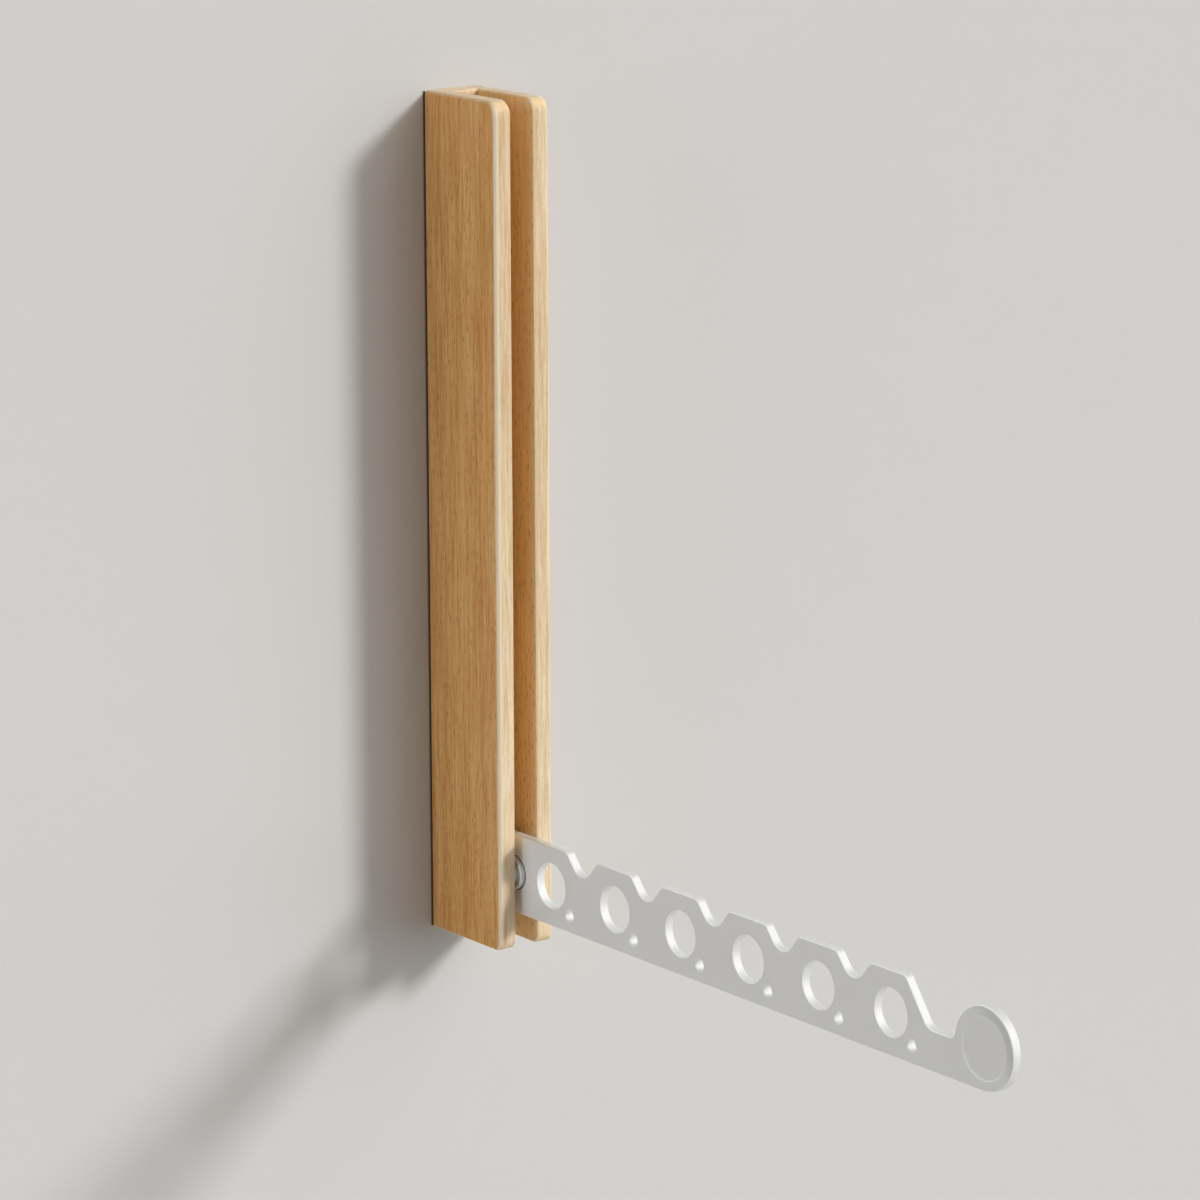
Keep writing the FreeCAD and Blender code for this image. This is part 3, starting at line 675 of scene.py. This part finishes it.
SCREW_SIZES = {
    "Screws": 2, "Head Out": SCREW_HEAD_OUT, "Lowest": SCREW_LOW, "Spacing": SCREW_SPACING,
    "Recess Width": SCREW_RECESS_WIDTH, "Recess Length": SCREW_RECESS_LENGTH,
    "Recess Depth": SCREW_RECESS_DEPTH,
}
zinc_plate = zinc("zinc_plate")
one_screw = new_piece("one_screw", turned_mesh("one_screw", screw_outline(), SCREW_STEPS), zinc_plate)
run_tree(one_screw, screw_row_tree(SCREW_SIZES), zinc_plate, SCREW_SIZES)
strike_screw_pair = new_piece("strike_screw_pair", settled_mesh(one_screw), zinc_plate)
strike_screw_pair.data.shade_smooth()
strike_screw_pair.data.set_sharp_from_angle(angle=SCREW_CREASE)
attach(strike_screw_pair, "housing")
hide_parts("strike_plate_screws")


# ---- Fold bumper ----
# A small push-in buffer of dark grey rubber near the top of the rail, moulded with a bevelled head and a stem.
# The folded arm's tip comes to rest on it.
RUBBER_DARK = (0.030, 0.030, 0.031)
RUBBER_LIGHT = (0.075, 0.074, 0.072)


def buffer_rubber(name):
    """Dull rubber with a fine skin, and a little dust on it."""
    finish, start = new_finish(name)
    place = millimetres(start)
    skin = place.noise((0.25, 0.25, 0.25), 3.0, 0.6)
    dust = place.noise((2.4, 2.4, 2.4), 3.0)
    surface = start.node("ShaderNodeBsdfPrincipled", {}, {
        "Base Color": (dust * 0.6 + skin * 0.4).mix(RUBBER_DARK, RUBBER_LIGHT),
        "Roughness": 0.62 + (skin - 0.5) * 0.25, "Normal": skin.relief(0.4, 0.03 * MM),
    })
    start.node("ShaderNodeOutputMaterial", {}, {"Surface": surface})
    return finish


dress("fold_bumper", buffer_rubber("buffer_rubber"))


# ---- Arm ----
# A flat bar of aluminium, profiled and pierced on a milling machine: a row of large holes for hooks, a small
# hole beside each, rounded notches along the top, a deep valley and a round tip with a shallow finger dish.
# The faces are bead-blasted and anodised, and the milled edges are brighter, with a fine bevel all round.
ARM_THICKNESS = 4 * MM
ARM_HEIGHT = 33.5 * MM
ARM_LOWER_EDGE = -161.2 * MM
OUTLINE_BEVEL = 0.6 * MM
HOOK_HOLE_BEVEL = 0.35 * MM
SMALL_HOLE_BEVEL = 0.3 * MM
BEVEL_STEPS = 5
HOLE_LINE = 17 * MM
HOOK_HOLES = 6
HOLE_PITCH = 42.4 * MM
FIRST_HOLE_OUT = PIVOT_OUT + 25.2 * MM
HOOK_HOLE_RADIUS = 9.55 * MM
HOOK_HOLE_STEPS = 96
FIRST_SMALL_HOLE_OUT = FIRST_HOLE_OUT + 12.2 * MM
SMALL_HOLE_LINE = 7.1 * MM
SMALL_HOLE_RADIUS = 2.65 * MM
SMALL_HOLE_STEPS = 48
BUSH_SEAT_RADIUS = 5 * MM
BUSH_SEAT_STEPS = 96
RECESS_RADIUS = 7.4 * MM
RECESS_DEPTH = 0.6 * MM
RECESS_BEVEL_WIDTH = 0.8 * MM
RECESS_BEVEL_DEPTH = 0.4 * MM
NOTCH_OFFSET = 20.5 * MM
NOTCH_DEPTH = 8.1 * MM
NOTCH_RADIUS = 7 * MM
NOTCH_FLANK = math.radians(50)
SHOULDER_RADIUS = 3.5 * MM
VALLEY_OFFSET = 20.9 * MM
VALLEY_FLOOR = 15.8 * MM
VALLEY_FLANK = math.radians(54)
VALLEY_RADIUS = 6 * MM
TIP_RADIUS = 16.3 * MM
TIP_OUT = FIRST_HOLE_OUT + (HOOK_HOLES - 1) * HOLE_PITCH + 52.3 * MM
TIP_CENTRE = (0, -TIP_OUT, ARM_LOWER_EDGE + TIP_RADIUS)
NECK_RADIUS = 3.5 * MM
DISH_RADIUS = 12.5 * MM
DISH_FLOOR_RADIUS = 11.8 * MM
DISH_DEPTH = 0.5 * MM
DISH_STEPS = 128
HEEL_OUT = 11.5 * MM
HEEL_RELIEF = 0.5 * MM
HEEL_BEARING = 12 * MM
HEEL_CORNER_RADIUS = 2 * MM
HEEL_TOP_RADIUS = 1.5 * MM
ARC_STEP = math.radians(4)
SHORTEST_EDGE = 0.01 * MM
SAME_PLANE = 0.001 * MM
CREASE = math.radians(20)
SQUARE_WITHIN = 0.0001

FACE_DARK = (0.755, 0.755, 0.75)
FACE_LIGHT = (0.825, 0.825, 0.82)
# Painted light: the faces and edges near the pivot are painted paler, against the shade from the housing.
FACE_PAINTED_LIGHT_NEAR_PIVOT = (0.94, 0.96, 0.985)
# Painted shade on the tip's upper rim, beside the finger dish.
FACE_PAINTED_SHADE_ON_TIP_RIM = (0.64, 0.64, 0.64)
# Painted shade: the right face is painted darker, against the stronger light on that side.
FACE_PAINTED_SHADE_ON_RIGHT = (0.54, 0.54, 0.535)
FACE_PAINTED_SHADE_ON_RIGHT_SHARE = 0.7
MILLED_DARK = (0.835, 0.835, 0.835)
MILLED_LIGHT = (0.87, 0.87, 0.87)
# Painted shade: milled edges that face upward are painted darker.
MILLED_PAINTED_SHADE_UPWARD = (0.64, 0.64, 0.64)
MILLED_PAINTED_SHADE_UPWARD_SHARE = 0.9
MILLED_PAINTED_LIGHT_NEAR_PIVOT = (0.79, 0.805, 0.83)
# Bright bevel metal, lifted further as a painted highlight line.
BEVEL_HIGHLIGHT_COLOUR = (0.95, 0.95, 0.95)
# Painted shade: a near-black ring in the gap round each bush.
GAP_PAINTED_SHADE = (0.035, 0.035, 0.034)
GAP_PAINTED_SHADE_EDGE = (7.25, 7.5)
NEAR_PIVOT_FADE = (10, 27)
TIP_RIM_RISE = (12.2, 12.7)
TIP_RIM_DIRECTION = (0, -0.8, 0.6)
TIP_RIM_START = (2, 13)
TIP_RIM_END = 17
METAL_ON_FACE = 0.12
METAL_MORE_ON_EDGE = 0.38
METAL_MORE_ON_BEVEL = 0.83
METAL_MORE_ON_RIGHT = 0.34
METAL_LOST_NEAR_PIVOT = 0.6


def arc(centre, radius, start, end, count=0):
    """Points along an arc, both ends included, in so many steps or else in steps of ARC_STEP."""
    count = count or max(2, math.ceil(abs(end - start) / ARC_STEP))
    turns = [start + (end - start) * i / count for i in range(count + 1)]
    return [centre + Vector((radius * math.cos(turn), radius * math.sin(turn))) for turn in turns]


def rounded(before, corner, after, radius):
    """Points along the tangent arc that rounds one corner of a path."""
    arriving = (corner - before).normalized()
    leaving = (after - corner).normalized()
    turn = arriving.angle(leaving)
    side = 1 if arriving.cross(leaving) > 0 else -1
    begin = corner - arriving * radius * math.tan(turn / 2)
    centre = begin + Vector((-arriving.y, arriving.x)) * side * radius
    first = math.atan2(begin.y - centre.y, begin.x - centre.x)
    return arc(centre, radius, first, first + side * turn)


def arm_outline():
    """The arm's outline as (out, height) points, from the heel over the top to the tip and back underneath."""
    pivot = Vector((PIVOT_OUT, HOLE_LINE))
    heel_radius = PIVOT_OUT - HEEL_OUT - HEEL_RELIEF
    top_turn = math.pi - math.asin((ARM_HEIGHT - HOLE_LINE) / heel_radius)
    heel = arc(pivot, heel_radius, math.pi, top_turn)
    tip = Vector((TIP_OUT, TIP_RADIUS))
    neck_height = VALLEY_FLOOR + NECK_RADIUS
    neck_turn = math.asin((TIP_RADIUS - neck_height) / (TIP_RADIUS + NECK_RADIUS))
    neck = Vector((TIP_OUT - (TIP_RADIUS + NECK_RADIUS) * math.cos(neck_turn), neck_height))

    corners = [(heel[-1], HEEL_TOP_RADIUS)]
    point_height = ARM_HEIGHT - NOTCH_DEPTH - NOTCH_RADIUS * (1 / math.cos(NOTCH_FLANK) - 1)
    half_mouth = (ARM_HEIGHT - point_height) / math.tan(NOTCH_FLANK)
    for i in range(HOOK_HOLES - 1):
        middle = FIRST_HOLE_OUT + i * HOLE_PITCH + NOTCH_OFFSET
        corners.append((Vector((middle - half_mouth, ARM_HEIGHT)), SHOULDER_RADIUS))
        corners.append((Vector((middle, point_height)), NOTCH_RADIUS))
        corners.append((Vector((middle + half_mouth, ARM_HEIGHT)), SHOULDER_RADIUS))
    valley_foot = FIRST_HOLE_OUT + (HOOK_HOLES - 1) * HOLE_PITCH + VALLEY_OFFSET
    valley_top = valley_foot - (ARM_HEIGHT - VALLEY_FLOOR) / math.tan(VALLEY_FLANK)
    corners.append((Vector((valley_top, ARM_HEIGHT)), SHOULDER_RADIUS))
    corners.append((Vector((valley_foot, VALLEY_FLOOR)), VALLEY_RADIUS))

    before_heel_top = heel[-1] - Vector((math.sin(top_turn), -math.cos(top_turn)))
    path = [before_heel_top] + [corner for corner, _ in corners] + [Vector((neck.x, VALLEY_FLOOR))]
    points = [point for point in heel if point.y < ARM_HEIGHT - HEEL_TOP_RADIUS]
    for before, (corner, radius), after in zip(path, corners, path[2:]):
        points += rounded(before, corner, after, radius)
    points += arc(neck, NECK_RADIUS, -math.pi / 2, neck_turn)
    points += arc(tip, TIP_RADIUS, math.pi + neck_turn, -math.pi / 2)[1:]
    square = Vector((HEEL_OUT, 0))
    points += rounded(Vector((TIP_OUT, 0)), square, Vector((HEEL_OUT, HEEL_BEARING)), HEEL_CORNER_RADIUS)
    points.append(Vector((HEEL_OUT, HEEL_BEARING)))
    following = points[1:] + points[:1]
    return [here for here, after in zip(points, following) if (after - here).length > SHORTEST_EDGE]


def circle(out, height, radius, steps):
    """Points round a hole in the arm, counterclockwise as seen from the left."""
    return arc(Vector((out, height)), radius, 0, 2 * math.pi * (steps - 1) / steps, steps - 1)


def edge_section(bevel):
    """Steps over an edge of the arm from its left face to its right one, as (distance in from the edge, x)."""
    turns = [math.pi / 2 * i / BEVEL_STEPS for i in range(BEVEL_STEPS + 1)]
    left = [(bevel * (1 - math.sin(turn)), bevel * (1 - math.cos(turn)) - ARM_THICKNESS / 2) for turn in turns]
    return left + [(inset, -x) for inset, x in reversed(left)]


def sweep(mesh, points, section):
    """Add the surface that a section leaves along a closed run of points with the metal on their right."""
    rings = []
    for before, here, after in zip(points[-1:] + points[:-1], points, points[1:] + points[:1]):
        arriving = (here - before).normalized()
        leaving = (after - here).normalized()
        inward = Vector((arriving.y + leaving.y, -arriving.x - leaving.x)).normalized()
        mitre = 1 / math.cos(arriving.angle(leaving) / 2)
        places = [(x, here + inward * inset * mitre) for inset, x in section]
        rings.append([mesh.verts.new((x, -place.x, ARM_LOWER_EDGE + place.y)) for x, place in places])
    for ring, following in zip(rings, rings[1:] + rings[:1]):
        for i in range(len(section) - 1):
            mesh.faces.new((ring[i], following[i], following[i + 1], ring[i + 1]))


def cap(mesh, x):
    """Fill the plane at x between all the rims that lie in it."""
    rims = [edge for edge in mesh.edges
            if edge.is_boundary and all(abs(end.co.x - x) < SAME_PLANE for end in edge.verts)]
    bmesh.ops.triangle_fill(mesh, use_beauty=True, use_dissolve=False, edges=rims, normal=(1, 0, 0))


def hole_row(name, first_hole, section, finish):
    """Mesh of the walls of a whole row of holes, copied along the arm from the first one."""
    first_wall = bmesh.new()
    sweep(first_wall, first_hole, section)
    mesh = bpy.data.meshes.new(name)
    first_wall.to_mesh(mesh)
    first_wall.free()
    host = new_piece(name, mesh, finish)
    sizes = {"Holes": HOOK_HOLES, "Pitch": HOLE_PITCH}
    tree, wires = new_geometry_tree(name, sizes)
    gap = wires["Pitch"].node("ShaderNodeCombineXYZ", {}, {"Y": -wires["Pitch"]})
    finish_tree(wires["Geometry"].in_a_row(wires["Holes"], (0.0, 0.0, 0.0), gap), wires["Finish"])
    run_tree(host, tree, finish, sizes)
    return settled_mesh(host)


def arm_mesh(hole_rows):
    """The arm as one closed mesh: edges, holes, bush seat and dishes first, then the two faces between them."""
    half = ARM_THICKNESS / 2
    mesh = bmesh.new()
    for row in hole_rows:
        mesh.from_mesh(row)
    sweep(mesh, arm_outline(), edge_section(OUTLINE_BEVEL))
    step = RECESS_RADIUS - BUSH_SEAT_RADIUS
    seat = [(step + RECESS_BEVEL_WIDTH, -half), (step, RECESS_BEVEL_DEPTH - half), (step, RECESS_DEPTH - half),
            (0, RECESS_DEPTH - half)]
    sweep(mesh, circle(PIVOT_OUT, HOLE_LINE, BUSH_SEAT_RADIUS, BUSH_SEAT_STEPS),
          seat + [(inset, -x) for inset, x in reversed(seat)])
    for side in (-1, 1):
        floor_x = side * (half - DISH_DEPTH)
        sweep(mesh, circle(TIP_OUT, TIP_RADIUS, DISH_FLOOR_RADIUS, DISH_STEPS),
              [(DISH_RADIUS - DISH_FLOOR_RADIUS, side * half), (0, floor_x)])
        cap(mesh, floor_x)
        cap(mesh, side * half)
    bmesh.ops.recalc_face_normals(mesh, faces=mesh.faces)
    made = bpy.data.meshes.new("pierced_arm")
    mesh.to_mesh(made)
    mesh.free()
    return made


def shade(mesh):
    """Smooth shading that stays true on flats and walls, runs on over bevels, and breaks at creases."""
    mesh.shade_smooth()
    around = [[] for _ in mesh.vertices]
    for polygon in mesh.polygons:
        for vertex in polygon.vertices:
            around[vertex].append(polygon)
    normals = []
    for polygon in mesh.polygons:
        for vertex in polygon.vertices:
            near = [other for other in around[vertex] if other.normal.angle(polygon.normal, 0) < CREASE]
            flats = [other for other in near if abs(other.normal.x) > 1 - SQUARE_WITHIN]
            walls = [other for other in near if abs(other.normal.x) < SQUARE_WITHIN]
            leading = flats or walls or near
            normals.append(sum((other.normal * other.area for other in leading), Vector()).normalized())
    mesh.normals_split_custom_set(normals)


def anodised(name):
    """Satin anodised aluminium: matt blasted faces, and smoother, brighter edges with faint milling marks. Near
    the pivot it is paler, as painted light, and duller. Painted shade darkens the gap under the bushes, the
    right face, the tip's upper rim and the upward milled edges, and the bevels carry a painted highlight on
    bright metal."""
    finish, start = new_finish(name)
    place = millimetres(start)
    blasted = place.noise((0.16, 0.16, 0.16), 3.0, 0.6)
    clouds = place.noise((26, 26, 26), 3.0)
    milled = place.noise((30, 0.5, 0.5))

    rightwards, _, upwards = start.node("ShaderNodeTexCoord", {}, {}, "Normal").parts()
    sideways = abs(rightwards)
    edge = 1 - sideways.step(0.55, 0.90)
    bevel = (sideways * (1 - sideways) * 4).step(0.45, 0.85)
    on_right = rightwards > 0.8
    upward = upwards.step(0.6, 0.95)
    from_pivot = millimetres(start, PIVOT).from_x_axis()
    # Painted shade in the gap under the bushes.
    gap_shaded = 1 - from_pivot.step(*GAP_PAINTED_SHADE_EDGE)
    near_pivot = 1 - from_pivot.step(*NEAR_PIVOT_FADE)
    from_tip = millimetres(start, TIP_CENTRE)
    lean = start.node("ShaderNodeVectorMath", {"operation": "DOT_PRODUCT"},
                      {0: from_tip, 1: TIP_RIM_DIRECTION}, "Value")
    # Painted shade: a crescent on the tip's upper rim.
    tip_rim_shade = from_tip.from_x_axis().step(*TIP_RIM_RISE) * lean.step(*TIP_RIM_START) * (lean < TIP_RIM_END)

    face_colour = (clouds * 0.7 + blasted * 0.3).mix(FACE_DARK, FACE_LIGHT)
    # Painted light near the pivot.
    face_colour = near_pivot.mix(face_colour, FACE_PAINTED_LIGHT_NEAR_PIVOT)
    face_colour = tip_rim_shade.mix(face_colour, FACE_PAINTED_SHADE_ON_TIP_RIM)
    # Painted shade on the right face.
    face_colour = (on_right * FACE_PAINTED_SHADE_ON_RIGHT_SHARE).mix(face_colour, FACE_PAINTED_SHADE_ON_RIGHT)
    edge_colour = milled.mix(MILLED_DARK, MILLED_LIGHT)
    # Painted shade on the upward milled edges.
    edge_colour = (upward * MILLED_PAINTED_SHADE_UPWARD_SHARE).mix(edge_colour, MILLED_PAINTED_SHADE_UPWARD)
    edge_colour = near_pivot.mix(edge_colour, MILLED_PAINTED_LIGHT_NEAR_PIVOT)
    # The bevels carry a painted highlight on top of bright metal.
    colour = bevel.mix(edge.mix(face_colour, edge_colour), BEVEL_HIGHLIGHT_COLOUR)

    metal = METAL_ON_FACE + (edge * METAL_MORE_ON_EDGE).larger(bevel * METAL_MORE_ON_BEVEL)
    metal = (metal + on_right * METAL_MORE_ON_RIGHT) * (1 - gap_shaded) * (1 - near_pivot * METAL_LOST_NEAR_PIVOT)
    surface = start.node("ShaderNodeBsdfPrincipled", {}, {
        "Base Color": gap_shaded.mix(colour, GAP_PAINTED_SHADE), "Metallic": metal,
        "Roughness": 0.46 - edge * 0.18 + (blasted - 0.5) * 0.06,
        "Normal": ((1 - edge) * blasted).relief(0.3, 0.01 * MM),
    })
    start.node("ShaderNodeOutputMaterial", {}, {"Surface": surface})
    return finish


satin = anodised("satin_anodised_aluminium")
first_hook_hole = circle(FIRST_HOLE_OUT, HOLE_LINE, HOOK_HOLE_RADIUS, HOOK_HOLE_STEPS)
first_small_hole = circle(FIRST_SMALL_HOLE_OUT, SMALL_HOLE_LINE, SMALL_HOLE_RADIUS, SMALL_HOLE_STEPS)
hole_rows = [
    hole_row("hook_holes", first_hook_hole, edge_section(HOOK_HOLE_BEVEL), satin),
    hole_row("small_holes", first_small_hole, edge_section(SMALL_HOLE_BEVEL), satin),
]
pierced_arm = new_piece("pierced_arm", arm_mesh(hole_rows), satin)
shade(pierced_arm.data)
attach(pierced_arm, "arm")
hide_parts("arm")


# ---- Bushes, spacers and pivot pin ----
# A shouldered steel bush is pressed into each face of the arm, and a thin steel washer keeps it off the cheek.
# The arm turns on a plain steel pin through both. All are turned, so they carry fine rings.
BUSH_DARK = (0.66, 0.66, 0.655)
BUSH_LIGHT = (0.82, 0.82, 0.815)
SPACER_DARK = (0.50, 0.50, 0.50)
SPACER_LIGHT = (0.66, 0.66, 0.66)

bush_steel = turned_metal("turned_bush_steel", BUSH_DARK, BUSH_LIGHT, roughness=0.36, metallic=0.5)
spacer_steel = turned_metal("turned_spacer_steel", SPACER_DARK, SPACER_LIGHT, roughness=0.42, metallic=0.6)
for node_name in ("left_bush", "right_bush"):
    dress(node_name, bush_steel)
for node_name in ("left_spacer", "right_spacer", "pivot_pin"):
    dress(node_name, spacer_steel)
